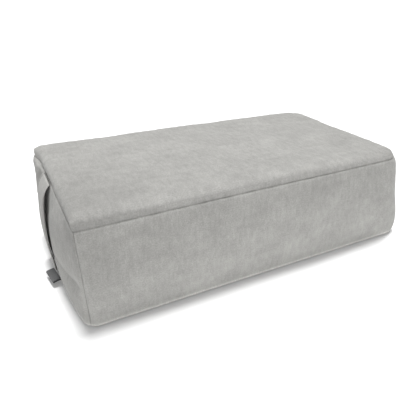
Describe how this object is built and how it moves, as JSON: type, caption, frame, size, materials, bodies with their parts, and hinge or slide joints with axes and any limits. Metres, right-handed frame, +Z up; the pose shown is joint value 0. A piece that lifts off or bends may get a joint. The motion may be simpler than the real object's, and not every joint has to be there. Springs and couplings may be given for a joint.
{
  "type": "yoga bolster",
  "caption": "Filled rectangular yoga bolster that lies flat, with a softly crowned top panel, a sewn top seam, bulging ends, a flat carry strap on one end and a folded side tag.",
  "frame": {"origin": "on the floor, under the middle of the whole part's box", "axes": "+X along the length, away from the end with the strap; +Y from the front to the back; +Z up"},
  "size_m": [0.6328, 0.317, 0.1768],
  "materials": {
    "cover_cloth": "soft short-napped grey cover cloth, faintly mottled",
    "strap_cloth": "the same napped grey cloth, folded flat and top stitched",
    "tag_weave": "dark grey woven tape, plain"
  },
  "bodies": {
    "root": {"bolster": "cover_cloth", "carry_strap": "strap_cloth", "side_tag": "tag_weave"}
  },
  "joints": []
}
